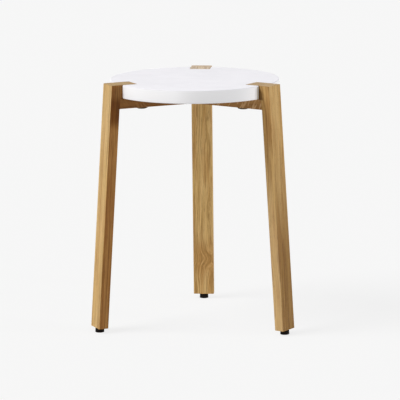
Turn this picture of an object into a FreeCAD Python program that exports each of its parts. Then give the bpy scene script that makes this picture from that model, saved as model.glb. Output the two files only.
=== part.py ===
import FreeCAD
import Part

import math
import os

# Three-legged stacking stool, in millimetres.
# The origin is on the stool's axis at floor level, +Z is up, the rear leg stands along +Y
# and -Y is the front. Left and right are as seen from the front.

# Seat
seat_height = 450.0
seat_diameter = 306.0
seat_thickness = 25.0
seat_flat_depth = 2.0
seat_edge_chamfer = 1.2

# Legs: a post of flat stock whose outer face leans out by the splay run from seat to floor
leg_width = 38.0
leg_thickness = 18.0
leg_overhang = 19.0
leg_splay_run = 31.0
leg_edge_radius = 1.5
top_edge_chamfer = 0.5

# Heads: the leg's horizontal top, which lies in the seat's notch
head_length = 50.0

# Rails
rail_thickness = 18.0
rail_edge_radius = 1.5

# Loose tenons from rail and head into the post, flat bars with chamfered long edges
tenon_width = 22.0
tenon_thickness = 6.0
tenon_in_post_share = 0.65
tenon_in_rail = 18.0
tenon_in_head = 14.0
peg_end_gap = 0.8

# Loose tongues across the mitres where the rails meet, flat bars again
bar_chamfer = 1.0
tongue_width = 11.0
tongue_thickness = 5.0
tongue_length = 15.0
tongue_centre_share = 0.55

# Seat bolts, inserts and the pads that cover the bolts
bolt_setback = 16.5
bolt_diameter = 6.0
bolt_head_diameter = 12.0
bolt_head_height = 3.5
bolt_socket_width = 4.0
bolt_socket_depth = 2.2
counterbore_diameter = 14.0
insert_diameter = 9.0
insert_length = 12.0
insert_hole_spare = 2.0
pad_diameter = 16.0
pad_height = 3.7
pad_chamfer = 0.4

# Glides and their screws
glide_diameter = 16.5
glide_height = 9.0
glide_chamfer = 0.8
glide_recess_diameter = 9.0
glide_web = 4.0
screw_diameter = 4.0
screw_length = 22.0
screw_point = 3.0
screw_head_diameter = 7.6
screw_head_height = 2.4
screw_slot_width = 1.0
screw_slot_length = 4.4
screw_slot_depth = 1.2

# Clearances: round a glued peg, round a head in its notch, round metal in its hole,
# round a bolt in its rail, and between a bolt's head and its pad
glue_gap = 0.05
notch_gap = 0.2
running_gap = 0.1
bolt_hole_gap = 0.3
head_gap = 0.3

# How far a cut runs past what it cuts, and how close two places are when they are the same
overrun = 5.0
same_place = 0.01

# Worked out from the sizes above
seat_radius = seat_diameter / 2
seat_underside = seat_height - seat_thickness
seat_flat_radius = seat_radius - seat_flat_depth
leg_top_radius = seat_radius + leg_overhang
leg_lean = math.atan(leg_splay_run / seat_height)
leg_level_thickness = leg_thickness / math.cos(leg_lean)
head_inner_radius = leg_top_radius - head_length
rail_top = seat_underside
rail_underside = rail_top - rail_thickness
rail_middle = (rail_top + rail_underside) / 2
head_middle = (seat_height + seat_underside) / 2
foot_level = glide_height
tenon_in_post = tenon_in_post_share * leg_thickness
bolt_radius = head_inner_radius - bolt_setback
counterbore_depth = head_gap + bolt_head_height
bolt_seat_level = rail_underside + counterbore_depth
bolt_length = rail_top - bolt_seat_level + insert_length

leg_angles = {"rear": 90, "left": 210, "right": 330}
mitre_angles = {"left": 150, "front": 270, "right": 30}
mitre_angle = 60

up = FreeCAD.Vector(0, 0, 1)
outward = FreeCAD.Vector(1, 0, 0)
origin = FreeCAD.Vector(0, 0, 0)


def leg_outer_radius(level):
    """Distance of the leg's outer face from the stool's axis at this level."""
    return leg_top_radius + (seat_height - level) * math.tan(leg_lean)


def leg_inner_radius(level):
    """Distance of the leg's inner face from the stool's axis at this level."""
    return leg_outer_radius(level) - leg_level_thickness


def side_profile(corners, width):
    """A board whose side outline is given as distance and level, centred on the leg's plane."""
    points = [FreeCAD.Vector(distance, -width / 2, level) for distance, level in corners]
    face = Part.Face(Part.makePolygon(points + [points[0]]))
    return face.extrude(FreeCAD.Vector(0, width, 0))


def turned(outline):
    """A solid turned about the vertical axis from a closed outline of radius and level."""
    points = [FreeCAD.Vector(radius, 0, level) for radius, level in outline]
    face = Part.Face(Part.makePolygon(points + [points[0]]))
    return face.revolve(origin, up, 360)


def peg(diameter, length, start, direction):
    """A plain round peg from a start point."""
    return Part.makeCylinder(diameter / 2, length, start, direction)


def rounded(solid, radius, chosen):
    """The solid with a round of this radius on the chosen edges."""
    return solid.makeFillet(radius, [edge for edge in solid.Edges if chosen(edge)])


def chamfered(solid, width, chosen):
    """The solid with a chamfer of this width on the chosen edges."""
    return solid.makeChamfer(width, [edge for edge in solid.Edges if chosen(edge)])


def level_edge(edge, level):
    """Whether the whole edge lies at this level."""
    box = edge.BoundBox
    return abs(box.ZMin - level) < same_place and abs(box.ZMax - level) < same_place


def at_side(edge, width):
    """Whether the whole edge lies on one side face of a board of this width."""
    box = edge.BoundBox
    return abs(abs(box.YMin) - width / 2) < same_place and box.YLength < same_place


def post_length(low, high):
    """A length of the leaning post between two levels, square-edged."""
    corners = [
        (leg_outer_radius(low), low),
        (leg_outer_radius(high), high),
        (leg_inner_radius(high), high),
        (leg_inner_radius(low), low),
    ]
    return side_profile(corners, leg_width)


def post():
    """The leg's post: rounded all round below the rail, and outside only beside rail and head."""

    def long_edge(edge):
        return at_side(edge, leg_width) and edge.BoundBox.ZLength > leg_thickness

    def outer_long_edge(edge):
        inner_reach = leg_inner_radius(rail_underside) + leg_thickness / 2
        return long_edge(edge) and edge.BoundBox.XMax > inner_reach

    def top_rim(edge):
        inside = edge.BoundBox.XMax < leg_inner_radius(seat_height) + same_place
        return level_edge(edge, seat_height) and not inside

    upper = rounded(post_length(rail_underside, seat_height), leg_edge_radius, outer_long_edge)
    upper = chamfered(upper, top_edge_chamfer, top_rim)
    lower = rounded(post_length(foot_level, rail_underside), leg_edge_radius, long_edge)
    solid = upper.fuse(lower).removeSplitter()
    solid = solid.cut(tenon(rail_middle, tenon_in_rail, True))
    solid = solid.cut(tenon(head_middle, tenon_in_head, True))
    return solid.cut(screw_pilot())


def flat_bar(width, thickness, length):
    """A flat bar along +X with its long edges chamfered, centred on the origin."""
    side = width / 2
    rise = thickness / 2
    inner_side = side - bar_chamfer
    inner_rise = rise - bar_chamfer
    section = [
        (-inner_side, -rise),
        (inner_side, -rise),
        (side, -inner_rise),
        (side, inner_rise),
        (inner_side, rise),
        (-inner_side, rise),
        (-side, inner_rise),
        (-side, -inner_rise),
    ]
    points = [FreeCAD.Vector(-length / 2, across, height) for across, height in section]
    face = Part.Face(Part.makePolygon(points + [points[0]]))
    return face.extrude(outward * length)


def tenon(level, inboard, slot):
    """The level loose tenon across the joint at the post's inner face, or the slot that takes it."""
    gap = glue_gap if slot else 0
    shortfall = 0 if slot else peg_end_gap
    length = inboard + tenon_in_post - 2 * shortfall
    solid = flat_bar(tenon_width + 2 * gap, tenon_thickness + 2 * gap, length)
    middle = leg_inner_radius(level) + (tenon_in_post - inboard) / 2
    solid.translate(FreeCAD.Vector(middle, 0, level))
    return solid


def head():
    """The leg's horizontal top, from the notch's inner end to the post, standing on the rail."""
    corners = [
        (head_inner_radius, seat_underside),
        (leg_inner_radius(seat_underside), seat_underside),
        (leg_inner_radius(seat_height), seat_height),
        (head_inner_radius, seat_height),
    ]

    def free_top_edge(edge):
        against_post = edge.BoundBox.XMin > leg_inner_radius(seat_height) - same_place
        return level_edge(edge, seat_height) and not against_post

    solid = chamfered(side_profile(corners, leg_width), top_edge_chamfer, free_top_edge)
    return solid.cut(tenon(head_middle, tenon_in_head, True))


def rail():
    """A flat rail from the three-way mitre on the stool's axis to the post's inner face."""
    corners = [
        (0, rail_underside),
        (leg_inner_radius(rail_underside), rail_underside),
        (leg_inner_radius(rail_top), rail_top),
        (0, rail_top),
    ]

    def lower_long_edge(edge):
        return level_edge(edge, rail_underside) and at_side(edge, leg_width)

    solid = rounded(side_profile(corners, leg_width), rail_edge_radius, lower_long_edge)
    solid = solid.common(mitre_wedge())
    solid = solid.cut(tenon(rail_middle, tenon_in_rail, True))
    for side in (-1, 1):
        solid = solid.cut(mitre_tongue(mitre_angle * side, True))
    hole_bottom = FreeCAD.Vector(bolt_radius, 0, rail_underside - overrun)
    counterbore = peg(counterbore_diameter, counterbore_depth + overrun, hole_bottom, up)
    through = peg(bolt_diameter + 2 * bolt_hole_gap, rail_thickness + 2 * overrun, hole_bottom, up)
    return solid.cut(counterbore).cut(through)


def mitre_wedge():
    """The third of the plan, seen from above, that belongs to one rail."""
    reach = leg_top_radius + leg_splay_run
    side = reach * math.tan(math.radians(mitre_angle))
    points = [
        FreeCAD.Vector(0, 0, rail_underside - overrun),
        FreeCAD.Vector(reach, -side, rail_underside - overrun),
        FreeCAD.Vector(reach, side, rail_underside - overrun),
    ]
    face = Part.Face(Part.makePolygon(points + [points[0]]))
    return face.extrude(up * (rail_thickness + 2 * overrun))


def mitre_tongue(angle, slot):
    """The level tongue across the mitre that lies at this angle, or the slot that takes it."""
    gap = glue_gap if slot else 0
    length = tongue_length + (2 * peg_end_gap if slot else 0)
    solid = flat_bar(tongue_width + 2 * gap, tongue_thickness + 2 * gap, length)
    solid.rotate(origin, up, 90)
    mitre_length = leg_width / 2 / math.sin(math.radians(mitre_angle))
    solid.translate(FreeCAD.Vector(mitre_length * tongue_centre_share, 0, rail_middle))
    solid.rotate(origin, up, angle)
    return solid


def seat():
    """The round board with its flats, notches and the blind holes for the inserts."""
    solid = peg(seat_diameter, seat_thickness, up * seat_underside, up)
    depth = seat_flat_depth + overrun
    for angle in leg_angles.values():
        offcut = Part.makeBox(
            depth,
            seat_diameter,
            seat_thickness + 2 * overrun,
            FreeCAD.Vector(seat_flat_radius, -seat_radius, seat_underside - overrun),
        )
        offcut.rotate(origin, up, angle)
        solid = solid.cut(offcut)
    solid = chamfered(
        solid,
        seat_edge_chamfer,
        lambda edge: level_edge(edge, seat_height) or level_edge(edge, seat_underside),
    )
    notch_width = leg_width + 2 * notch_gap
    notch_start = head_inner_radius - notch_gap
    for angle in leg_angles.values():
        notch = Part.makeBox(
            seat_radius - notch_start + overrun,
            notch_width,
            seat_thickness + 2 * overrun,
            FreeCAD.Vector(notch_start, -notch_width / 2, seat_underside - overrun),
        )
        hole_bottom = FreeCAD.Vector(bolt_radius, 0, seat_underside - overrun)
        hole_depth = insert_length + insert_hole_spare + overrun
        hole = peg(insert_diameter + 2 * glue_gap, hole_depth, hole_bottom, up)
        for cut in (notch, hole):
            cut.rotate(origin, up, angle)
            solid = solid.cut(cut)
    return solid


def insert():
    """The sleeve in the seat that takes the bolt's thread."""
    base = up * seat_underside
    solid = peg(insert_diameter, insert_length, base, up)
    solid = solid.cut(peg(bolt_diameter + 2 * running_gap, insert_length, base, up))
    solid.translate(outward * bolt_radius)
    return solid


def seat_bolt():
    """The bolt that draws the seat down on its rail, with a six-sided socket in its head."""
    head_bottom = bolt_seat_level - bolt_head_height
    solid = peg(bolt_head_diameter, bolt_head_height, up * head_bottom, up)
    solid = solid.fuse(peg(bolt_diameter, bolt_length, up * bolt_seat_level, up))
    corner = bolt_socket_width / math.sqrt(3)
    points = []
    for step in range(6):
        turn = math.radians(60 * step)
        points.append(FreeCAD.Vector(corner * math.cos(turn), corner * math.sin(turn), head_bottom - overrun))
    socket = Part.Face(Part.makePolygon(points + [points[0]])).extrude(up * (bolt_socket_depth + overrun))
    solid = solid.cut(socket).removeSplitter()
    solid.translate(outward * bolt_radius)
    return solid


def pad():
    """The soft round pad stuck under the rail, over the bolt's counterbore."""
    base = rail_underside - pad_height
    solid = peg(pad_diameter, pad_height, up * base, up)
    solid = chamfered(solid, pad_chamfer, lambda edge: level_edge(edge, base))
    solid.translate(outward * bolt_radius)
    return solid


def foot_centre():
    """Distance of the foot's middle from the stool's axis."""
    return leg_outer_radius(foot_level) - leg_level_thickness / 2


def glide():
    """The hard round glide under the leg, hollowed from below for its screw."""
    solid = peg(glide_diameter, glide_height, origin, up)
    solid = chamfered(solid, glide_chamfer, lambda edge: level_edge(edge, 0))
    recess = peg(glide_recess_diameter, glide_height - glide_web + overrun, up * -overrun, up)
    hole = peg(screw_diameter + 2 * running_gap, glide_height + 2 * overrun, up * -overrun, up)
    solid = solid.cut(recess).cut(hole)
    solid.translate(outward * foot_centre())
    return solid


def screw_pilot():
    """The hole in the leg's end for the glide's screw."""
    depth = screw_length - glide_web + peg_end_gap
    start = FreeCAD.Vector(foot_centre(), 0, foot_level - overrun)
    return peg(screw_diameter + 2 * glue_gap, depth + overrun, start, up)


def glide_screw():
    """The screw up through the glide: a flat-topped head with a cross recess, and a pointed shank."""
    seat_level = glide_height - glide_web
    head_bottom = seat_level - screw_head_height
    tip = seat_level + screw_length
    shank = screw_diameter / 2
    solid = turned(
        [
            (0, head_bottom),
            (screw_head_diameter / 2, head_bottom),
            (screw_head_diameter / 2, seat_level),
            (shank, seat_level),
            (shank, tip - screw_point),
            (0, tip),
        ]
    )
    for turn in (0, 90):
        slot = Part.makeBox(
            screw_slot_length,
            screw_slot_width,
            screw_slot_depth + overrun,
            FreeCAD.Vector(-screw_slot_length / 2, -screw_slot_width / 2, head_bottom - overrun),
        )
        slot.rotate(origin, up, turn)
        solid = solid.cut(slot)
    solid.translate(outward * foot_centre())
    return solid


def export(shape, name):
    """Write one piece, or one group of like pieces, to its own file."""
    shape.exportStep("parts/" + name + ".step")
    print(name, round(shape.Volume), len(shape.Solids), shape.isValid())


def main():
    """Build every piece once and set it out round the stool's axis."""
    os.makedirs("parts", exist_ok=True)
    export(seat(), "seat")
    makers = {
        "leg": post,
        "head": head,
        "rail": rail,
        "rail_tenon": lambda: tenon(rail_middle, tenon_in_rail, False),
        "head_tenon": lambda: tenon(head_middle, tenon_in_head, False),
        "insert": insert,
        "seat_bolt": seat_bolt,
        "pad": pad,
        "glide": glide,
        "glide_screw": glide_screw,
    }
    for name, maker in makers.items():
        piece = maker()
        for place, angle in leg_angles.items():
            copy = piece.copy()
            copy.rotate(origin, up, angle)
            export(copy, name + "_" + place)
    for place, angle in mitre_angles.items():
        export(mitre_tongue(angle, False), "mitre_tongue_" + place)


main()
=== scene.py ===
"""A three-legged stacking stool: white round seat, oak legs and rails, in a plain pale studio."""

import logging
import math
from dataclasses import dataclass, field, replace
from enum import Enum
from functools import partial
from typing import Any, Callable, Mapping, Optional, Union

import bpy
from mathutils import Matrix, Vector


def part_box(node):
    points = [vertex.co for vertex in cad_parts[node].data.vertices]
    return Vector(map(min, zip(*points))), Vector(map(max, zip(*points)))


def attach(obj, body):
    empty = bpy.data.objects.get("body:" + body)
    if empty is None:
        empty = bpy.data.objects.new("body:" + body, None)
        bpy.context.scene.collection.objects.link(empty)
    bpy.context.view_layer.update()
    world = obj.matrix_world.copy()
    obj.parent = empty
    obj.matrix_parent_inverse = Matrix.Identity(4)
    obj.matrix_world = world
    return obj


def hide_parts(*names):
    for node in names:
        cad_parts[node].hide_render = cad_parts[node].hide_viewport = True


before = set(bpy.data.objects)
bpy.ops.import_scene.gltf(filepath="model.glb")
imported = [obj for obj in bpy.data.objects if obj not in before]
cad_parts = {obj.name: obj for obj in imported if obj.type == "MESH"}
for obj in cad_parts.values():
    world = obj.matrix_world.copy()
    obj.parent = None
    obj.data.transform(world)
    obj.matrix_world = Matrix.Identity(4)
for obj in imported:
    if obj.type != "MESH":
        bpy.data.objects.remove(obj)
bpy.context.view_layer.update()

log = logging.getLogger("stool")

Triple = tuple[float, float, float]
Colour = Triple
Span = tuple[float, float]
Number = Union["Expr", float]
Piece = bpy.types.Object
Material = bpy.types.Material
Test = Callable[[Vector, Vector], bool]

BODY = "root"
MM = 0.001
HEIGHT = 450.0  # of the stool, in millimetres
HEADINGS = {"rear": 90.0, "left": 210.0, "right": 330.0}  # of the legs, in degrees
ZERO: Triple = (0.0, 0.0, 0.0)
WHITE: Colour = (1.0, 1.0, 1.0)
BLACK: Colour = (0.0, 0.0, 0.0)

ON_LEVEL = 0.0001  # metres from a level within which a point lies on it
WELD = 0.000002  # metres between points that become one
SPARE = 0.01  # metres that a cutter reaches past what it cuts
STEEP = 0.9  # rise of a normal above which its face looks straight up
SHARP = 50.0  # degrees of turn above which an edge is eased
GENTLE = 32.0  # degrees of turn below which an edge is smoothed


# Shader writing


@dataclass(frozen=True)
class Noise:
    """A kind of smooth noise."""

    features: Triple  # how many there are per millimetre, along each axis
    detail: float = 2.0  # how many finer layers it has
    rough: float = 0.5  # how strong each finer layer is beside the one before
    span: Span = (0.0, 1.0)  # the values between which its patches come in
    middle: float = 0.5  # the value from which it is counted as a drift


def operator(operation: str, swapped: bool = False) -> Callable[..., "Expr"]:
    """A method of Expr that is one Math node, with self as its first number or its second."""

    def method(self: "Expr", *other: Number) -> "Expr":
        return self.graph.maths(operation, *((*other, self) if swapped else (self, *other)))

    return method


class Expr:
    """A number that a shader works out, so that node maths can be written as Python."""

    __add__ = operator("ADD")
    __radd__ = operator("ADD", swapped=True)
    __sub__ = operator("SUBTRACT")
    __rsub__ = operator("SUBTRACT", swapped=True)
    __mul__ = operator("MULTIPLY")
    __rmul__ = operator("MULTIPLY", swapped=True)
    __truediv__ = operator("DIVIDE")
    __rtruediv__ = operator("DIVIDE", swapped=True)
    most = operator("MAXIMUM")
    least = operator("MINIMUM")
    root = operator("SQRT")
    fraction = operator("FRACT")

    def __init__(self, graph: "Graph", socket: bpy.types.NodeSocket) -> None:
        """Keep the graph that the number belongs to and the socket it comes from."""
        self.graph = graph
        self.socket = socket

    def __neg__(self) -> "Expr":
        """Self with its sign turned."""
        return 0.0 - self

    def step(self, low: float, high: float) -> "Expr":
        """A smooth step from 0 at low to 1 at high, which is the lower one if the step falls."""
        if low < high:
            ends = {"From Min": low, "From Max": high, "To Min": 0.0, "To Max": 1.0}
        else:
            ends = {"From Min": high, "From Max": low, "To Min": 1.0, "To Max": 0.0}
        smooth = {"interpolation_type": "SMOOTHSTEP"}
        return self.graph.node("MapRange", smooth, {"Value": self, **ends})

    def masked(self, low: float, high: float, share: float) -> "Expr":
        """A smooth step up to a share in place of 1."""
        return self.step(low, high) * share

    def added_to(self, plain: float, amount: float) -> "Expr":
        """A plain number with an amount of self on it."""
        return plain + amount * self


class Graph:
    """The node tree of one material or of the world."""

    def __init__(self, tree: bpy.types.NodeTree) -> None:
        """Start an empty tree."""
        self.tree = tree
        tree.nodes.clear()

    def node(
        self,
        kind: str,
        settings: Optional[Mapping[str, Any]] = None,
        sockets: Optional[Mapping[Union[str, int], Any]] = None,
        output: Union[str, int] = 0,
    ) -> Expr:
        """Add a node with its own settings, and values or links for its inputs.

        The kind is its type without ShaderNode, and the output is the one to hand back.
        """
        node = self.tree.nodes.new("ShaderNode" + kind)
        for name, value in (settings or {}).items():
            setattr(node, name, value)
        for name, value in (sockets or {}).items():
            socket = node.inputs[name]
            if isinstance(value, Expr):
                self.tree.links.new(value.socket, socket)
            elif isinstance(value, tuple) and socket.type == "RGBA":
                socket.default_value = (*value, 1.0)
            else:
                socket.default_value = value
        return Expr(self, node.outputs[output] if node.outputs else None)

    def maths(self, operation: str, *values: Number) -> Expr:
        """A Math node on one or two numbers."""
        return self.node("Math", {"operation": operation}, dict(enumerate(values)))

    def place(self) -> Expr:
        """The point being shaded, in the piece's own coordinates, in metres."""
        return self.node("TexCoord", output="Object")

    def place_in_mm(self, heading: float = 0.0) -> Expr:
        """The same point in millimetres, with X out along a heading in degrees."""
        return self.turn(self.place(), 1 / MM, (0.0, 0.0, -math.radians(heading)))

    def turn(
        self, point: Expr, scale: float = 1.0, angles: Triple = ZERO, shift: Triple = ZERO
    ) -> Expr:
        """A point scaled, then turned about the axes, then shifted."""
        sockets = {"Vector": point, "Scale": (scale,) * 3, "Rotation": angles, "Location": shift}
        return self.node("Mapping", {"vector_type": "POINT"}, sockets)

    def axis(self, point: Expr, name: str) -> Expr:
        """One coordinate of a point."""
        return self.node("SeparateXYZ", None, {"Vector": point}, name)

    def noise(self, point: Expr, kind: Noise) -> Expr:
        """Noise of a kind, between 0 and 1, at a point in millimetres."""
        scaled = self.node("VectorMath", {"operation": "MULTIPLY"}, {0: point, 1: kind.features})
        sockets = {"Vector": scaled, "Scale": 1.0, "Detail": kind.detail, "Roughness": kind.rough}
        return self.node("TexNoise", {"noise_dimensions": "3D"}, sockets)

    def drift(self, point: Expr, kind: Noise) -> Expr:
        """Noise of a kind, counted from its middle value."""
        return self.noise(point, kind) - kind.middle

    def patches(self, point: Expr, kind: Noise) -> Expr:
        """1 in the patches of a kind of noise, 0 between them."""
        return self.noise(point, kind).step(*kind.span)

    def blend(self, amount: Number, first: Any, second: Any, mode: str = "MIX") -> Expr:
        """The first colour with an amount, 0 to 1, of the second on it, combined as mode says."""
        settings = {"data_type": "RGBA", "blend_type": mode, "clamp_factor": True}
        return self.node("Mix", settings, {0: amount, 6: first, 7: second}, 2)

    def bump(self, height: Expr, distance: float, strength: float) -> Expr:
        """A normal bent by a height of up to distance millimetres."""
        sockets = {"Height": height, "Distance": distance * MM, "Strength": strength}
        return self.node("Bump", None, sockets)

    def surface(self, sockets: Mapping[str, Any]) -> None:
        """Finish a material with one Principled shader."""
        shader = self.node("BsdfPrincipled", None, sockets)
        self.node("OutputMaterial", None, {"Surface": shader})


def new_material(name: str) -> tuple[Material, Graph]:
    """A new material and its empty graph."""
    material = bpy.data.materials.new(name)
    material.use_nodes = True
    return material, Graph(material.node_tree)


def dress(piece: Piece, material: Material) -> None:
    """Put one material on a whole piece."""
    slots = piece.data.materials
    if not slots:
        slots.append(material)
    for index in range(len(slots)):
        slots[index] = material


# Finishes. A roughness or coat is a plain value and what the noise adds to it; a relief is a
# depth in millimetres and how strongly it shows.


class Cut(Enum):
    """How a board was sawn from its log, with the place of the pith: depth, across."""

    FLAT = (-27.0, -15.0)
    RIFT = (-58.0, 74.0)
    QUARTER = (-9.0, 96.0)


@dataclass(frozen=True)
class Grain:
    """One board's growth rings, with lengths in millimetres."""

    cut: Cut
    spacing: float  # from ring to ring
    lean: float  # of the pith, per millimetre along the board
    wander: float  # of the rings, over long lengths
    figure: float  # how strongly the rings show, 0 to 1
    seed: float  # where the board lies in the noise
    swirl: float = 0.0  # how far the rings swing out round a knot
    swirl_at: float = 0.0  # where that knot is, along the board
    swirl_reach: float = 14.0  # how far along the board the swing goes
    flecks: float = 0.0  # how strongly the rays show, 0 to 1
    fleck_lean: float = -28.0  # their slant in degrees
    wobble: float = 3.0  # of the rings, over short lengths


@dataclass(frozen=True)
class Tone:
    """Where a board differs from plain oak, mostly as a share of another colour, 0 to 1; several
    are painted shade and light.
    """

    overall: float = 0.0  # deeper
    russet: float = 0.0  # redder
    knot: float = 0.0  # redder about the knot
    plus_side: float = 0.0  # painted shade: deeper on the side that across counts towards
    minus_side: float = 0.0  # painted shade: deeper on the other side
    by_seat: float = 0.0  # painted shade on both sides, high up under the seat
    by_seat_levels: Span = (0.24, 0.40)  # where that painted shade comes in, in metres
    by_seat_fade: float = 0.0  # how much of that painted shade goes again beside the seat's edge
    seat_shadow: float = 0.0  # painted shadow of the seat's edge, between the minus side and that edge
    outer_foot: float = 0.0  # browner on the outer face, low down
    side_foot: float = 0.0  # greyer on the minus side, low down
    outer_top: float = 0.0  # painted light: paler on the outer face, high up
    top: float = 0.0  # nearer to top_colour on the level top, painted sheen on the rear leg and painted shade on the left
    top_colour: Colour = WHITE


@dataclass(frozen=True)
class Board:
    """Where a board lies, so that its grain follows it, with lengths in millimetres."""

    name: str
    heading: float  # of its leg from the stool's axis, in degrees
    tip: float  # from upright, in radians
    middle: float  # how far out its middle plane lies, once turned and tipped
    width: float
    thickness: float
    length: float
    grain: Grain
    tone: Tone


class Spot:
    """The point being shaded, by its depth in one board, across and along it, in millimetres.

    It is also kept turned to the board's heading, and seeded: in the board's own noise.
    """

    side_margins: Span = (1.2, 0.2)
    face_margins: Span = (1.0, 0.1)

    def __init__(self, graph: Graph, board: Board) -> None:
        """Work out the point's place on a board."""
        self.graph = graph
        self.board = board
        self.turned = graph.place_in_mm(board.heading)
        tipped, middle = (0.0, board.tip, 0.0), (-board.middle, 0.0, 0.0)
        point = graph.turn(self.turned, angles=tipped, shift=middle)
        self.depth, self.across, self.along = (graph.axis(point, name) for name in "XYZ")
        seed = board.grain.seed
        self.seeded = graph.turn(point, shift=(seed, -seed, seed))

    def level(self) -> Expr:
        """The point's level above the floor, in metres."""
        return self.graph.axis(self.graph.place(), "Z")

    def plus_side(self) -> Expr:
        """1 on the side that across counts towards, 0 off it."""
        return self._at_end(self.across, self.board.width, self.side_margins)

    def minus_side(self) -> Expr:
        """1 on the other side, 0 off it."""
        return self._at_end(-self.across, self.board.width, self.side_margins)

    def outer_face(self) -> Expr:
        """1 on the face that looks away from the stool's axis, 0 off it."""
        return self._at_end(self.depth, self.board.thickness, self.face_margins)

    @staticmethod
    def _at_end(place: Expr, size: float, margins: Span) -> Expr:
        """1 at the far end of one of the board's sizes, 0 before the margins."""
        return place.step(size / 2 - margins[0], size / 2 - margins[1])


@dataclass(frozen=True)
class OakFinish:
    """Oiled oak: rings, long fibres, open pores, rays, paler wood between the rings, and painted
    shade and light by place.
    """

    pale: Colour = (0.730, 0.505, 0.220)
    golden: Colour = (0.630, 0.415, 0.155)
    russet: Colour = (0.480, 0.250, 0.075)
    ring: Colour = (0.295, 0.158, 0.045)
    pore: Colour = (0.100, 0.048, 0.016)
    # the pale of the rays, also used as painted light high on the outer face
    ray_and_painted_light: Colour = (0.880, 0.660, 0.370)
    # deep is the overall deeper tone and also the painted shade on the sides
    deep: Colour = (0.38, 0.20, 0.06)
    # the colour of the painted shade under the seat
    under_seat_shade: Colour = (0.557, 0.412, 0.21)
    foot_brown: Colour = (0.53, 0.455, 0.35)
    foot_grey: Colour = (0.48, 0.36, 0.25)
    # the painted shadow cast by the seat's edge on the right leg's side
    corner_shade: Colour = (0.325, 0.255, 0.150)

    # The pith's path and the spacing of the years
    wander_in: Noise = Noise((0.02, 0.02, 0.006), 1.0)
    wander_over: Noise = Noise((0.025, 0.025, 0.0085), middle=0.45)
    wobble: Noise = Noise((0.035, 0.035, 0.018))
    uneven: Noise = Noise((0.09, 0.05, 0.004))
    unevenness: float = 1.2
    early_rise: Span = (0.0, 0.10)
    early_fall: Span = (0.55, 0.15)

    # The ground colour, in clouds
    cloud: Noise = Noise((0.06, 0.06, 0.0065), span=(0.34, 0.64))
    warmth: Noise = Noise((0.11, 0.11, 0.0090), 1.0)
    warm: Triple = (0.50, 0.62, 0.7)
    knot_reach: float = 2.4

    # The lines along the grain
    band: Noise = Noise((0.42, 0.06, 0.0055), 3.0, 0.6)
    pale_band: Triple = (0.50, 0.40, 0.45)
    dark_band: Triple = (0.50, 0.62, 0.75)
    line: Noise = Noise((1.1, 0.30, 0.014), 3.0, 0.65)
    dark_line: Triple = (0.50, 0.62, 0.55)
    early_least: float = 0.05
    early_share: float = 0.55
    fibre: Noise = Noise((1.7, 1.7, 0.020), 4.0, 0.6)
    dark_fibre: Triple = (0.60, 0.36, 0.22)
    vessels: Noise = Noise((3.2, 3.2, 0.11), 1.0, span=(0.58, 0.66))
    late_pores: float = 0.25
    pore_share: float = 0.60
    flecks: Noise = Noise((0.06, 0.3, 0.30), 1.0, span=(0.54, 0.62))
    flecked: Noise = Noise((0.02, 0.02, 0.020), 1.0, span=(0.40, 0.52))

    # Places of other tones and of the painted shade and painted light: levels in metres, the foot
    # as shares of the length, and millimetres
    top_levels: Span = (0.4490, 0.4498)
    beside_levels: Span = (0.417, 0.434)
    foot_span: Span = (0.80, 0.25)
    # where the painted light on the outer face comes in
    high_span: Span = (290.0, 410.0)
    # where the painted shadow beside the seat's edge lies
    corner_levels: Span = (422.5, 426.5)
    corner_edges: tuple[Span, Span] = ((151.5, 0.55), (155.5, 0.17))
    corner_fade: float = 2.2

    # The surface
    roughness: Span = (0.50, 0.10)
    band_gloss: float = 0.05
    specular: float = 0.16
    fibre_height: float = 0.5
    relief: Span = (0.22, 0.5)

    def material(self, board: Board) -> Material:
        """The oak of one board, by its place, grain and tone."""
        material, graph = new_material(board.name + "_oak")
        spot = Spot(graph, board)
        grain, figure = board.grain, board.grain.figure
        from_pith = self._from_pith(spot)
        seeded = {"X": from_pith, "Y": spot.across + grain.seed, "Z": spot.along + grain.seed}
        layered = graph.node("CombineXYZ", None, seeded)
        uneven = graph.noise(layered, self.uneven)
        year = (from_pith / grain.spacing + uneven * self.unevenness).fraction()
        early = year.step(*self.early_rise) * year.step(*self.early_fall)
        band = graph.noise(layered, self.band)
        line = graph.noise(layered, self.line)
        fibre = graph.noise(spot.seeded, self.fibre)
        vessels = graph.patches(spot.seeded, self.vessels)
        pores = vessels * (self.late_pores + early * (1.0 - self.late_pores))

        colour = self._ground(spot)
        colour = graph.blend(band.masked(*self.pale_band) * figure, colour, self.pale)
        colour = graph.blend(band.masked(*self.dark_band) * figure, colour, self.ring)
        rings = early * (self.early_least + line) * self.early_share * figure
        colour = graph.blend(rings, colour, self.ring)
        colour = graph.blend(line.masked(*self.dark_line) * figure, colour, self.ring)
        colour = graph.blend(fibre.masked(*self.dark_fibre), colour, self.ring)
        colour = graph.blend(pores * self.pore_share, colour, self.pore)
        if grain.flecks:
            colour = graph.blend(self._rays(spot) * grain.flecks, colour, self.ray_and_painted_light)

        graph.surface(
            {
                "Base Color": self._toned(spot, colour),
                "Roughness": fibre.added_to(*self.roughness) - self.band_gloss * band,
                "Specular IOR Level": self.specular,
                "Normal": graph.bump(fibre * self.fibre_height - pores, *self.relief),
            }
        )
        return material

    def _from_pith(self, spot: Spot) -> Expr:
        """How far the point is from the log's wandering centre, in millimetres."""
        graph, grain = spot.graph, spot.board.grain
        wander_in = graph.drift(spot.seeded, self.wander_in)
        wander_over = graph.drift(spot.seeded, self.wander_over)
        wobble = graph.drift(spot.seeded, self.wobble)
        pith_in, pith_over = grain.cut.value
        into = spot.depth - pith_in - spot.along * grain.lean + wander_in * grain.wander
        if grain.swirl:
            near = (spot.along - grain.swirl_at) / grain.swirl_reach
            into = into + grain.swirl / (1.0 + near * near)
        over = spot.across - pith_over + wander_over * grain.wander + wobble * grain.wobble
        return (into * into + over * over).root()

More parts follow.
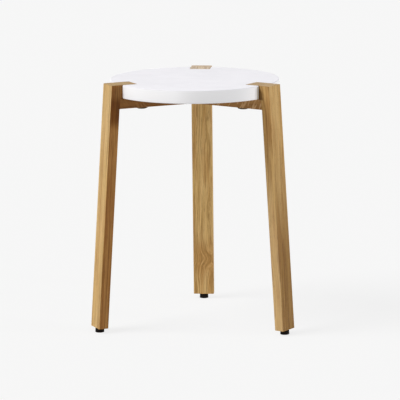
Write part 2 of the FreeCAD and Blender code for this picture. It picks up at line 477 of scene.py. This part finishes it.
    def _ground(self, spot: Spot) -> Expr:
        """The colour under the grain's lines: pale and golden clouds, redder in places."""
        graph, grain, tone = spot.graph, spot.board.grain, spot.board.tone
        cloud = graph.patches(spot.seeded, self.cloud)
        colour = graph.blend(cloud, self.pale, self.golden)
        warmth = graph.noise(spot.seeded, self.warmth).masked(*self.warm) * grain.figure
        colour = graph.blend(warmth, colour, self.russet)
        if tone.russet:
            colour = graph.blend(tone.russet, colour, self.russet)
        if tone.top:
            top = spot.level().step(*self.top_levels) * tone.top
            colour = graph.blend(top, colour, tone.top_colour)
        if tone.knot:
            near = (spot.along - grain.swirl_at) / (grain.swirl_reach * self.knot_reach)
            close = 1.0 / (1.0 + near * near * near * near)
            colour = graph.blend(close * tone.knot, colour, self.russet)
        return colour

    def _rays(self, spot: Spot) -> Expr:
        """Pale flecks at a slant, where the saw met the rays flat on, in patches."""
        graph = spot.graph
        slant = (0.0, math.radians(spot.board.grain.fleck_lean), 0.0)
        flecks = graph.patches(graph.turn(spot.seeded, angles=slant), self.flecks)
        return flecks * graph.patches(spot.seeded, self.flecked)

    def _toned(self, spot: Spot, colour: Expr) -> Expr:
        """The grained colour, changed where the board's tone says so, with painted shade and
        painted light among it.
        """
        graph, board, tone = spot.graph, spot.board, spot.board.tone
        # painted shade on the board's sides, added to its overall deeper tone
        sides = spot.plus_side() * tone.plus_side + spot.minus_side() * tone.minus_side
        side_shade_and_tone = (sides + tone.overall).least(1.0)
        colour = graph.blend(side_shade_and_tone, colour, self.deep, "MULTIPLY")
        # painted shadow of the seat's edge on the minus side
        if tone.seat_shadow:
            corner_shade = self._seat_shadow(spot) * tone.seat_shadow
            colour = graph.blend(corner_shade, colour, self.corner_shade, "MULTIPLY")
        # painted shade under the seat
        if tone.by_seat:
            colour = graph.blend(self._under_seat(spot), colour, self.under_seat_shade, "MULTIPLY")
        if tone.outer_foot:
            foot = spot.along.step(*(share * board.length for share in self.foot_span))
            browned = spot.outer_face() * foot * tone.outer_foot
            colour = graph.blend(browned, colour, self.foot_brown, "MULTIPLY")
            greyed = spot.minus_side() * foot * tone.side_foot
            colour = graph.blend(greyed, colour, self.foot_grey)
        # painted light high up on the outer face
        if tone.outer_top:
            high = spot.along.step(*self.high_span) * tone.outer_top
            colour = graph.blend(spot.outer_face() * high, colour, self.ray_and_painted_light)
        return colour

    def _seat_shadow(self, spot: Spot) -> Expr:
        """1 in the painted shadow of the seat's edge, in the corner between the board's minus
        side and that edge, 0 away from it.
        """
        out = spot.graph.axis(spot.turned, "X")
        level = spot.graph.axis(spot.turned, "Z")
        down = HEIGHT - level
        near, far = (reach + down * slope for reach, slope in self.corner_edges)
        inside = (near.least(far) - out).step(-self.corner_fade, self.corner_fade)
        return inside * level.step(*self.corner_levels) * spot.minus_side()

    def _under_seat(self, spot: Spot) -> Expr:
        """The painted shade on the board's sides under the seat, where little light comes."""
        tone, level = spot.board.tone, spot.level()
        under = level.step(*tone.by_seat_levels)
        beside = level.step(*self.beside_levels) * tone.by_seat_fade
        sides = spot.plus_side() + spot.minus_side()
        return sides * under * (1.0 - beside) * tone.by_seat


@dataclass(frozen=True)
class Finish:
    """A finish that follows the piece's own coordinates."""

    def material(self, name: str) -> Material:
        """The finish as a material under a name."""
        material, graph = new_material(name)
        graph.surface(self.sockets(graph, graph.place_in_mm()))
        return material

    def sockets(self, graph: Graph, point: Expr) -> dict[str, Any]:
        """What the shader's sockets get, at a point in millimetres."""
        raise NotImplementedError


@dataclass(frozen=True)
class LacquerFinish(Finish):
    """White satin lacquer sprayed on board, with the faint waviness of spray.

    The rim is whiter than the top, as painted light. Its dips are stretches of painted shade, a
    little darker, each a heading and a reach in degrees and a share. Its corner is painted shade
    at the end beside the right notch.
    """

    colour: Colour = (0.784, 0.778, 0.821)
    shade: Colour = (0.759, 0.753, 0.796)
    # painted light: the rim is whiter than the top
    rim: Colour = (0.915, 0.912, 0.930)
    rim_span: Span = (150.5, 150.9)
    rim_levels: Span = (448.9, 448.0)
    # painted shade in stretches of the rim
    shade_dips: tuple[Triple, ...] = ((290.0, 30.0, 0.155), (210.0, 60.0, 0.028))
    # painted shade, with a painted reflection of the oak, on the flat beside the right notch
    corner_shade: Colour = (0.59, 0.545, 0.44)
    corner_heading: float = HEADINGS["right"]
    corner_rise: Span = (17.0, 22.0)
    corner_fall: Span = (24.6, 24.1)
    corner_out: Span = (140.0, 141.0)
    mottle: Noise = Noise((0.02, 0.02, 0.02), 3.0, span=(0.35, 0.65))
    spray: Noise = Noise((0.9, 0.9, 0.9))
    roughness: Span = (0.52, 0.06)
    specular: float = 0.35
    coat: Span = (0.03, 0.04)
    coat_roughness: float = 0.45
    relief: Span = (0.03, 0.35)

    def sockets(self, graph: Graph, point: Expr) -> dict[str, Any]:
        """The lacquer's sockets."""
        mottle = graph.noise(point, self.mottle)
        over, back, level = (graph.axis(point, axis) for axis in "XYZ")
        out = (over * over + back * back).root()
        at_rim = out.step(*self.rim_span) * level.step(*self.rim_levels)
        # painted shade on the flat beside the right notch
        leg = math.radians(self.corner_heading)
        towards = over * math.cos(leg) + back * math.sin(leg)
        aside = over * math.sin(leg) - back * math.cos(leg)
        corner_shade = aside.step(*self.corner_rise) * aside.step(*self.corner_fall)
        corner_shade = corner_shade * towards.step(*self.corner_out)
        # the rim's painted light, with painted shade in stretches and beside the notch
        rim = self.rim
        for heading, reach, share in self.shade_dips:
            turn = math.radians(heading)
            facing = (over * math.cos(turn) + back * math.sin(turn)) / out
            dip_shade = facing.step(math.cos(math.radians(reach)), 1.0) * share
            rim = graph.blend(dip_shade, rim, BLACK)
        rim = graph.blend(corner_shade, rim, self.corner_shade, "MULTIPLY")
        colour = graph.blend(mottle.step(*self.mottle.span), self.colour, self.shade)
        return {
            "Base Color": graph.blend(at_rim, colour, rim),
            "Roughness": mottle.added_to(*self.roughness),
            "Specular IOR Level": self.specular,
            "Coat Weight": mottle.added_to(*self.coat),
            "Coat Roughness": self.coat_roughness,
            "Normal": graph.bump(graph.noise(point, self.spray), *self.relief),
        }


@dataclass(frozen=True)
class MouldedFinish(Finish):
    """A moulded dark material, plastic or rubber, with a fine matt texture."""

    colour: Colour
    worn: Colour
    roughness: Span
    relief: Span
    specular: float = 0.2
    scuff: Noise = Noise((0.35, 0.35, 0.35), 3.0)
    scuffed: Triple = (0.45, 0.75, 0.6)
    speckle: Noise = Noise((4.0, 4.0, 4.0))

    def sockets(self, graph: Graph, point: Expr) -> dict[str, Any]:
        """The moulded material's sockets."""
        scuff = graph.noise(point, self.scuff)
        return {
            "Base Color": graph.blend(scuff.masked(*self.scuffed), self.colour, self.worn),
            "Roughness": scuff.added_to(*self.roughness),
            "Specular IOR Level": self.specular,
            "Normal": graph.bump(graph.noise(point, self.speckle), *self.relief),
        }


@dataclass(frozen=True)
class ZincFinish(Finish):
    """Zinc-plated steel, with a faint crystalline mottle and turning marks."""

    bright: Colour = (0.62, 0.63, 0.64)
    dull: Colour = (0.46, 0.47, 0.49)
    crystal: Noise = Noise((1.1, 1.1, 1.1), 3.0, span=(0.35, 0.65))
    marks: Noise = Noise((0.5, 0.5, 9.0))
    roughness: Span = (0.28, 0.2)
    relief: Span = (0.03, 0.4)

    def sockets(self, graph: Graph, point: Expr) -> dict[str, Any]:
        """The plated steel's sockets."""
        crystal = graph.noise(point, self.crystal)
        dulled = crystal.step(*self.crystal.span)
        return {
            "Base Color": graph.blend(dulled, self.bright, self.dull),
            "Metallic": 1.0,
            "Roughness": crystal.added_to(*self.roughness),
            "Normal": graph.bump(graph.noise(point, self.marks), *self.relief),
        }


@dataclass(frozen=True)
class BeechFinish(Finish):
    """Bare planed beech, with its short dark flecks."""

    pale: Colour = (0.58, 0.40, 0.24)
    tan: Colour = (0.47, 0.29, 0.16)
    fleck: Colour = (0.27, 0.14, 0.07)
    cloud: Noise = Noise((0.2, 0.2, 0.2))
    flecks: Noise = Noise((0.8, 0.8, 3.0), 1.0, span=(0.62, 0.70))
    fleck_share: float = 0.7
    roughness: Span = (0.55, 0.15)
    relief: Span = (0.05, 0.4)

    def sockets(self, graph: Graph, point: Expr) -> dict[str, Any]:
        """The beech's sockets."""
        cloud = graph.noise(point, self.cloud)
        flecks = graph.patches(point, self.flecks)
        colour = graph.blend(cloud, self.pale, self.tan)
        return {
            "Base Color": graph.blend(flecks * self.fleck_share, colour, self.fleck),
            "Roughness": cloud.added_to(*self.roughness),
            "Normal": graph.bump(flecks, *self.relief),
        }


# Modelling by hand


select_all = partial(bpy.ops.mesh.select_all, action="SELECT")


def focus(piece: Piece) -> None:
    """Select one piece alone and make it active."""
    bpy.ops.object.select_all(action="DESELECT")
    piece.select_set(True)
    bpy.context.view_layer.objects.active = piece


def take(name: str) -> Piece:
    """Name the object just added, and put its place, turn and scale in its mesh."""
    piece = bpy.context.active_object
    piece.name = name
    focus(piece)
    bpy.ops.object.transform_apply(location=True, rotation=True, scale=True)
    return piece


def drum(name: str, sides: int, radius: float, low: float, high: float, at: Vector) -> Piece:
    """An upright drum between two levels, with its axis at a point."""
    middle = (at.x, at.y, (low + high) / 2)
    bpy.ops.mesh.primitive_cylinder_add(
        vertices=sides, radius=radius, depth=high - low, location=middle
    )
    return take(name)


def block(name: str, size: Vector, middle: Vector, heading: float) -> Piece:
    """A block of a size, about a middle point, turned about the upright axis."""
    bpy.ops.mesh.primitive_cube_add(
        size=1.0, location=middle, rotation=(0.0, 0.0, heading), scale=size
    )
    return take(name)


def edit(piece: Piece, *steps: Callable[[], Any]) -> None:
    """Take some steps on a piece in edit mode."""
    focus(piece)
    bpy.ops.object.mode_set(mode="EDIT")
    for step in steps:
        step()
    bpy.ops.object.mode_set(mode="OBJECT")


def unpick(piece: Piece, kind: str) -> None:
    """Select nothing in a piece, and set which kind of part is picked next."""
    set_kind = partial(bpy.ops.mesh.select_mode, type=kind)
    edit(piece, set_kind, partial(bpy.ops.mesh.select_all, action="DESELECT"))


def pick_edges(piece: Piece, wanted: Test) -> None:
    """Select the edges whose two ends a test accepts."""
    unpick(piece, "EDGE")
    mesh = piece.data
    for item in (*mesh.vertices, *mesh.polygons):
        item.select = False
    for edge in mesh.edges:
        first, second = (mesh.vertices[index] for index in edge.vertices)
        edge.select = wanted(first.co, second.co)
        if edge.select:
            first.select = second.select = True


def pick_faces(piece: Piece, wanted: Test) -> None:
    """Select the faces whose middle and normal a test accepts."""
    unpick(piece, "FACE")
    mesh = piece.data
    for item in (*mesh.vertices, *mesh.edges):
        item.select = False
    for face in mesh.polygons:
        face.select = wanted(face.center, face.normal)


def round_edges(piece: Piece, width: float, segments: int, wanted: Test) -> None:
    """Round the edges that a test accepts."""
    pick_edges(piece, wanted)
    bevel = partial(bpy.ops.mesh.bevel, offset=width, segments=segments)
    edit(piece, partial(bevel, profile=0.5, affect="EDGES"))


def round_foot(piece: Piece, base: float, width: float, segments: int) -> None:
    """Round the edges that lie at a piece's lowest level, its base."""
    level = base + ON_LEVEL
    round_edges(piece, width, segments, lambda one, two: max(one.z, two.z) < level)


def narrow_top(piece: Piece, share: float, at: Vector) -> None:
    """Draw a piece's top in towards its axis, to a share of its width."""
    pick_faces(piece, lambda middle, normal: normal.z > STEEP)
    size = (share, share, 1.0)
    edit(piece, partial(bpy.ops.transform.resize, value=size, center_override=at))


def slice_off(piece: Piece, point: Vector, normal: Vector) -> None:
    """Cut off what lies beyond a plane and close the cut."""
    cut = partial(bpy.ops.mesh.bisect, plane_co=point, plane_no=normal)
    edit(piece, select_all, partial(cut, use_fill=True, clear_outer=True))


def face_out(piece: Piece) -> None:
    """Join doubled points and turn every face outwards."""
    weld = partial(bpy.ops.mesh.remove_doubles, threshold=WELD)
    edit(piece, select_all, weld, partial(bpy.ops.mesh.normals_make_consistent, inside=False))


def apply_modifier(piece: Piece, kind: str, **settings: Any) -> None:
    """Put a modifier with some settings on a piece and apply it."""
    focus(piece)
    modifier = piece.modifiers.new(kind.lower(), kind)
    for name, value in settings.items():
        setattr(modifier, name, value)
    bpy.ops.object.modifier_apply(modifier=modifier.name)


def carve(piece: Piece, cutter: Piece) -> None:
    """Cut one piece away from another and throw the cutter out."""
    apply_modifier(piece, "BOOLEAN", operation="DIFFERENCE", solver="EXACT", object=cutter)
    bpy.data.objects.remove(cutter)


def ease(piece: Piece, width: float, segments: int = 2) -> None:
    """Take the sharpness off every sharp edge."""
    sharp = {"limit_method": "ANGLE", "angle_limit": math.radians(SHARP)}
    apply_modifier(piece, "BEVEL", width=width, segments=segments, **sharp)


def smooth(piece: Piece, below: float = GENTLE) -> None:
    """Turn the piece's faces outwards and smooth the edges that turn by few degrees."""
    face_out(piece)
    focus(piece)
    bpy.ops.object.shade_smooth_by_angle(angle=math.radians(below))


def stand_in_for(piece: Piece, node: str) -> None:
    """A finished piece takes a node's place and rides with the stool."""
    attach(piece, BODY)
    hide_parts(node)


def axis_of(low: Vector, high: Vector) -> Vector:
    """Where the upright axis of a box stands, on the floor."""
    return Vector(((low.x + high.x) / 2, (low.y + high.y) / 2, 0.0))


# The stool, in metres but for the oak frame


@dataclass
class Seat:
    """The round white board, with its three flats, notches and blind holes."""

    radius: float = 0.153
    flat_radius: float = 0.151
    top: float = HEIGHT * MM
    thickness: float = 0.025
    sides: int = 288
    edge_round: float = 0.0017
    round_segments: int = 6
    rim_width: float = 0.002
    under_bevel: float = 0.0008
    under_bevel_width: float = 0.006
    notch_start: float = 0.1218
    notch_width: float = 0.0384
    edge_ease: float = 0.00025
    hole_reach: float = 0.1055
    hole_radius: float = 0.00455
    hole_depth: float = 0.014
    hole_sides: int = 48
    finish: LacquerFinish = field(default_factory=LacquerFinish)

    @staticmethod
    def outward(heading: float) -> Vector:
        """The level direction of one leg."""
        turn = math.radians(heading)
        return Vector((math.cos(turn), math.sin(turn), 0.0))

    def build(self) -> None:
        """Model the seat and dress it."""
        low = self.top - self.thickness
        seat = drum("seat_board", self.sides, self.radius, low, self.top, Vector())
        for heading in HEADINGS.values():
            outward = self.outward(heading)
            slice_off(seat, outward * self.flat_radius, outward)
        face_out(seat)
        self._bevel_underside(seat, low)
        self._round_rim(seat)
        face_out(seat)
        for heading in HEADINGS.values():
            self._cut_notch(seat, heading, low)
        ease(seat, self.edge_ease)
        smooth(seat)
        dress(seat, self.finish.material("seat_lacquer"))
        stand_in_for(seat, "seat")
        log.info("built %s", seat.name)

    def _bevel_underside(self, seat: Piece, low: float) -> None:
        """Bevel the underside a little towards the rim."""
        inner = self.flat_radius - self.under_bevel_width / 2

        def on_edge(first: Vector, second: Vector) -> bool:
            return max(first.z, second.z) < low + ON_LEVEL and first.xy.length > inner

        pick_faces(seat, lambda middle, normal: normal.z < -STEEP)
        edit(seat, partial(bpy.ops.mesh.inset, thickness=self.under_bevel_width, depth=0.0))
        pick_edges(seat, on_edge)
        edit(seat, partial(bpy.ops.transform.translate, value=(0.0, 0.0, self.under_bevel)))

    def _round_rim(self, seat: Piece) -> None:
        """Round the rim's top and bottom edges."""
        inner = self.flat_radius - self.rim_width

        def on_rim(first: Vector, second: Vector) -> bool:
            level = abs(first.z - second.z) < ON_LEVEL
            return level and min(first.xy.length, second.xy.length) > inner

        round_edges(seat, self.edge_round, self.round_segments, on_rim)

    def _cut_notch(self, seat: Piece, heading: float, low: float) -> None:
        """Cut one leg's notch and the blind hole for its insert."""
        outward = self.outward(heading)
        reach = self.radius + SPARE - self.notch_start
        middle = outward * (self.notch_start + reach / 2)
        middle.z = self.top - self.thickness / 2
        size = Vector((reach, self.notch_width, self.thickness + 2 * SPARE))
        carve(seat, block("notch", size, middle, math.radians(heading)))
        at, top = outward * self.hole_reach, low + self.hole_depth
        hole = drum("hole", self.hole_sides, self.hole_radius, low - SPARE, top, at)
        carve(seat, hole)


@dataclass(frozen=True)
class Leg:
    """What sets one leg, with its head and rail, apart from the others."""

    place: str
    grain: Grain
    tone: Tone
    seed: float  # where its head and rail lie in the noise
    head_top: Colour  # on the level top of its head
    flecks: float = 0.3  # how strongly its rail's rays show


@dataclass
class Frame:
    """The oak frame: three posts with their heads and rails, each board with its own grain.

    Lengths are in millimetres. The splay is how far a post leans out over its height. The
    head and the rail lie level, so their middles are levels and their tip is a quarter turn.
    """

    splay: float = 31.0
    post_middle: float = 193.5
    width: float = 38.0
    thickness: float = 18.0
    head_thickness: float = 25.0
    head_level: float = 437.5
    rail_level: float = 416.0
    arm_length: float = 170.0
    head_seed: float = 140.0
    rail_seed: float = 290.0
    end_grain: Colour = (0.435, 0.325, 0.185)
    # painted sheen, the reflection of the pale surroundings, on the rear leg's level tops
    sheen_top: Colour = (0.555, 0.497, 0.440)
    side_top: Colour = (0.345, 0.265, 0.152)
    # painted shade on the left leg's level tops: its post's end grain and its head
    shaded_end: Colour = (0.320, 0.220, 0.090)
    shaded_top: Colour = (0.290, 0.215, 0.105)
    # the rails' plus_side and minus_side are painted shade
    rail_tone: Tone = Tone(overall=0.18, plus_side=0.62, minus_side=0.48, russet=0.5)
    oak: OakFinish = field(default_factory=OakFinish)

    def legs(self) -> list[Leg]:
        """The three legs, with the grain and tone of each."""
        rear_grain = Grain(
            Cut.FLAT, 3.2, lean=-0.020, wander=6.0, figure=0.80, seed=927.6,
            swirl=6.0, swirl_at=66.0, wobble=9.0,
        )
        left_grain = Grain(Cut.RIFT, 2.6, lean=0.004, wander=8.0, figure=0.80, seed=1295.3)
        right_grain = Grain(Cut.RIFT, 3.4, lean=0.006, wander=12.0, figure=0.66, seed=1790.7)
        # the rear leg: painted sheen on its level tops
        rear_tone = Tone(knot=0.75, top=0.8, top_colour=self.sheen_top)
        # the left leg: painted light high on its outer face; painted shade on its plus side,
        # under the seat and on its tops
        left_tone = Tone(
            overall=0.09, outer_top=0.06, plus_side=0.69, by_seat=1.0,
            by_seat_levels=(0.366, 0.389), by_seat_fade=0.65, top=0.8,
            top_colour=self.shaded_end,
        )
        # the right leg: painted shade under the seat and the painted shadow of the seat's edge
        right_tone = Tone(
            overall=0.19, outer_foot=0.95, side_foot=0.2, by_seat=0.54, by_seat_fade=0.3,
            seat_shadow=0.95, top=0.8, top_colour=self.end_grain,
        )
        return [
            Leg("rear", rear_grain, rear_tone, 916.9, self.sheen_top),
            Leg("left", left_grain, left_tone, 160.7, self.shaded_top),
            Leg("right", right_grain, right_tone, 78.2, self.side_top, flecks=1.0),
        ]

    def boards(self, leg: Leg) -> list[Board]:
        """The post, head and rail of one leg."""
        heading = HEADINGS[leg.place]
        lean, level = math.atan(self.splay / HEIGHT), -math.pi / 2
        head_seed, rail_seed = leg.seed + self.head_seed, leg.seed + self.rail_seed
        head_grain = Grain(Cut.RIFT, 3.0, lean=0.0, wander=8.0, figure=0.70, seed=head_seed)
        # the heads take their leg's painted shade
        head_tone = replace(
            leg.tone, outer_foot=0.0, outer_top=0.0, knot=0.0, top_colour=leg.head_top
        )
        rail_grain = Grain(
            Cut.QUARTER, 2.8, lean=0.0, wander=10.0, figure=0.7, seed=rail_seed, flecks=leg.flecks
        )
        return [
            Board(
                "leg_" + leg.place, heading, lean, self.post_middle,
                self.width, self.thickness, HEIGHT, leg.grain, leg.tone,
            ),
            Board(
                "head_" + leg.place, heading, level, -self.head_level,
                self.width, self.head_thickness, self.arm_length, head_grain, head_tone,
            ),
            Board(
                "rail_" + leg.place, heading, level, -self.rail_level,
                self.width, self.thickness, self.arm_length, rail_grain, self.rail_tone,
            ),
        ]

    def build(self) -> None:
        """Dress every board of the frame."""
        for leg in self.legs():
            for board in self.boards(leg):
                dress(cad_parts[board.name], self.oak.material(board))
                log.info("dressed %s", board.name)


@dataclass
class Feet:
    """The three black glides, each hollowed from below round its screw."""

    radius: float = 0.00825
    height: float = 0.009
    sides: int = 56
    taper: float = 0.94
    edge_round: float = 0.0007
    round_segments: int = 5
    edge_ease: float = 0.0003
    web: float = 0.004
    recess_radius: float = 0.0045
    recess_sides: int = 40
    bore_radius: float = 0.0021
    bore_sides: int = 32
    bore_top: float = 0.02
    finish: MouldedFinish = MouldedFinish(
        (0.006, 0.004, 0.003), (0.012, 0.008, 0.006), (0.50, 0.12), (0.02, 0.5), specular=0.08
    )

    def build(self) -> None:
        """Model one glide for each foot and dress it."""
        black = self.finish.material("glide_black")
        for place in HEADINGS:
            low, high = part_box("glide_" + place)
            at, top = axis_of(low, high), low.z + self.height
            name = "foot_glide_" + place
            glide = drum(name, self.sides, self.radius, low.z, top, at)
            narrow_top(glide, self.taper, at)
            round_foot(glide, low.z, self.edge_round, self.round_segments)
            for cutter, sides, radius, end in (
                ("recess", self.recess_sides, self.recess_radius, top - self.web),
                ("bore", self.bore_sides, self.bore_radius, self.bore_top),
            ):
                carve(glide, drum(cutter, sides, radius, -SPARE, end, at))
            ease(glide, self.edge_ease)
            smooth(glide)
            dress(glide, black)
            stand_in_for(glide, "glide_" + place)
            log.info("built %s", name)


@dataclass
class Pads:
    """The three soft round pads under the rails, each moulded with a sunk middle."""

    radius: float = 0.008
    sides: int = 64
    edge_round: float = 0.0006
    round_segments: int = 6
    smooth_below: float = 40.0
    border: float = 0.0016
    step_width: float = 0.0005
    step_depth: float = 0.0004
    ring: float = 0.0014
    finish: MouldedFinish = MouldedFinish(
        (0.130, 0.090, 0.046), (0.172, 0.128, 0.071), (0.7, 0.12), (0.04, 0.5)
    )

    def build(self) -> None:
        """Model one pad for each rail and dress it."""
        rubber = self.finish.material("pad_brown_rubber")
        for place in HEADINGS:
            low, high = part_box("pad_" + place)
            name = "seat_pad_" + place
            pad = drum(name, self.sides, self.radius, low.z, high.z, axis_of(low, high))
            round_foot(pad, low.z, self.edge_round, self.round_segments)
            self._sink_middle(pad, low.z)
            smooth(pad, self.smooth_below)
            dress(pad, rubber)
            stand_in_for(pad, "pad_" + place)
            log.info("built %s", name)

    def _sink_middle(self, pad: Piece, base: float) -> None:
        """Sink the middle of the pad's face, inside a border and a small step."""

        def face(middle: Vector, normal: Vector) -> bool:
            return normal.z < -STEEP and middle.z < base + ON_LEVEL

        pick_faces(pad, face)
        inset = partial(bpy.ops.mesh.inset, depth=0.0)
        down = partial(inset, thickness=self.step_width, depth=-self.step_depth)
        border, ring = (partial(inset, thickness=width) for width in (self.border, self.ring))
        edit(pad, border, down, ring)


@dataclass
class Fittings:
    """The hidden joints and the metalwork, dressed where they are."""

    metal: tuple[str, ...] = ("insert", "seat_bolt", "glide_screw")
    tenons: tuple[str, ...] = ("rail_tenon", "head_tenon")
    mitres: tuple[str, ...] = ("front", "left", "right")
    steel: ZincFinish = field(default_factory=ZincFinish)
    beech: BeechFinish = field(default_factory=BeechFinish)

    def build(self) -> None:
        """Dress the bolts, inserts, screws, tenons and tongues."""
        steel = self.steel.material("zinc_plated_steel")
        beech = self.beech.material("planed_beech")
        for place in HEADINGS:
            for kind in self.metal:
                dress(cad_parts[f"{kind}_{place}"], steel)
            for kind in self.tenons:
                dress(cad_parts[f"{kind}_{place}"], beech)
        for place in self.mitres:
            dress(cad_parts["mitre_tongue_" + place], beech)
        log.info("dressed the joints and metalwork")


# The studio


@dataclass
class Lamp:
    """A distant soft lamp, by where it stands and how bright it is on what faces it."""

    name: str
    azimuth: float
    elevation: float
    level: float
    spread: float
    colour: Colour = WHITE
    glare: bool = True

    def build(self) -> None:
        """Hang the lamp."""
        data = bpy.data.lights.new(self.name, "SUN")
        data.energy = self.level * math.pi
        data.angle = math.radians(self.spread)
        data.color = self.colour
        lamp = bpy.data.objects.new(self.name, data)
        bpy.context.scene.collection.objects.link(lamp)
        turn = Matrix.Rotation(math.radians(self.azimuth + 90.0), 4, "Z")
        tilt = Matrix.Rotation(math.radians(90.0 - self.elevation), 4, "X")
        lamp.matrix_world = turn @ tilt
        lamp.visible_glossy = self.glare


@dataclass
class Studio:
    """A plain pale floor, a plain pale world, soft lamps and the camera.

    Lengths are in metres, angles in degrees, and the lens and sensor in millimetres.
    """

    backdrop: float = 0.920
    ambient: float = 0.385
    floor_radius: float = 40.0
    floor_sides: int = 96
    floor_drop: float = 0.0002
    floor_bounce: Colour = (0.66, 0.66, 0.66)
    shadow_share: float = 0.12
    shadow_colour: Colour = (0.88, 0.885, 0.89)
    camera_distance: float = 4.777722
    camera_height: float = 1.124809
    camera_azimuth: float = 4.561
    camera_aim: float = -0.0999
    camera_pitch: float = -10.658
    camera_roll: float = -0.360
    camera_reach: float = 200.0
    lens: float = 239.75
    sensor: float = 36.0
    lamps: tuple[Lamp, ...] = (
        Lamp("key_lamp", 204.0, 49.0, 0.84, 32.0, (1.0, 0.99, 0.97)),
        Lamp("right_lamp", 356.0, 11.0, 0.25, 4.0, glare=False),
        Lamp("front_right_lamp", 334.0, 11.0, 0.20, 10.0, glare=False),
    )

    def build(self) -> None:
        """Set up the world, the floor, the lamps and the camera."""
        self._world()
        self._floor()
        for lamp in self.lamps:
            lamp.build()
        self._camera()

    @staticmethod
    def _seen_directly(graph: Graph) -> Expr:
        """1 for what the camera, a gloss or clear glass sees, 0 for the light on the stool."""
        rays = [
            graph.node("LightPath", output=name)
            for name in ("Is Camera Ray", "Is Glossy Ray", "Is Transmission Ray")
        ]
        return rays[0].most(rays[1]).most(rays[2])

    def _world(self) -> None:
        """A world that lights plainly and looks like the backdrop."""
        world = bpy.data.worlds.new("studio_world")
        world.use_nodes = True
        bpy.context.scene.world = world
        graph = Graph(world.node_tree)
        light, look = (
            graph.node("Background", None, {"Color": WHITE, "Strength": strength})
            for strength in (self.ambient, self.backdrop)
        )
        seen = self._seen_directly(graph)
        mixed = graph.node("MixShader", None, {0: seen, 1: light, 2: look})
        graph.node("OutputWorld", None, {"Surface": mixed})

    def _floor(self) -> None:
        """A wide floor that shows as the backdrop with a faint soft shadow."""
        at = (0.0, 0.0, -self.floor_drop)
        bpy.ops.mesh.primitive_circle_add(
            vertices=self.floor_sides, radius=self.floor_radius, fill_type="NGON", location=at
        )
        floor = take("studio_floor")
        material, graph = new_material("studio_floor_pale")
        lit, shaded = (
            graph.node("BsdfDiffuse", None, {"Color": colour})
            for colour in (self.floor_bounce, self.shadow_colour)
        )
        plain = graph.node("Emission", None, {"Color": WHITE, "Strength": self.backdrop})
        look = graph.node("MixShader", None, {0: self.shadow_share, 1: plain, 2: shaded})
        seen = self._seen_directly(graph)
        mixed = graph.node("MixShader", None, {0: seen, 1: lit, 2: look})
        graph.node("OutputMaterial", None, {"Surface": mixed})
        dress(floor, material)

    def _camera(self) -> None:
        """The camera where the photograph was taken from."""
        data = bpy.data.cameras.new("photo_camera")
        data.lens = self.lens
        data.sensor_width = self.sensor
        data.clip_end = self.camera_reach
        camera = bpy.data.objects.new("photo_camera", data)
        bpy.context.scene.collection.objects.link(camera)
        turn = math.radians(self.camera_azimuth)
        over = self.camera_distance * math.sin(turn)
        back = -self.camera_distance * math.cos(turn)
        place = Matrix.Translation(Vector((over, back, self.camera_height)))
        heading = Matrix.Rotation(turn + math.radians(self.camera_aim), 4, "Z")
        pitch = Matrix.Rotation(math.radians(90.0 + self.camera_pitch), 4, "X")
        roll = Matrix.Rotation(math.radians(self.camera_roll), 4, "Z")
        camera.matrix_world = place @ heading @ pitch @ roll
        bpy.context.scene.camera = camera


def main() -> None:
    """Build the stool's pieces in order, then the studio round them."""
    logging.basicConfig(level=logging.INFO, format="%(message)s")
    bpy.context.scene.view_settings.view_transform = "Standard"
    Seat().build()
    Frame().build()
    Feet().build()
    Pads().build()
    Fittings().build()
    Studio().build()


if __name__ == "__main__":
    main()
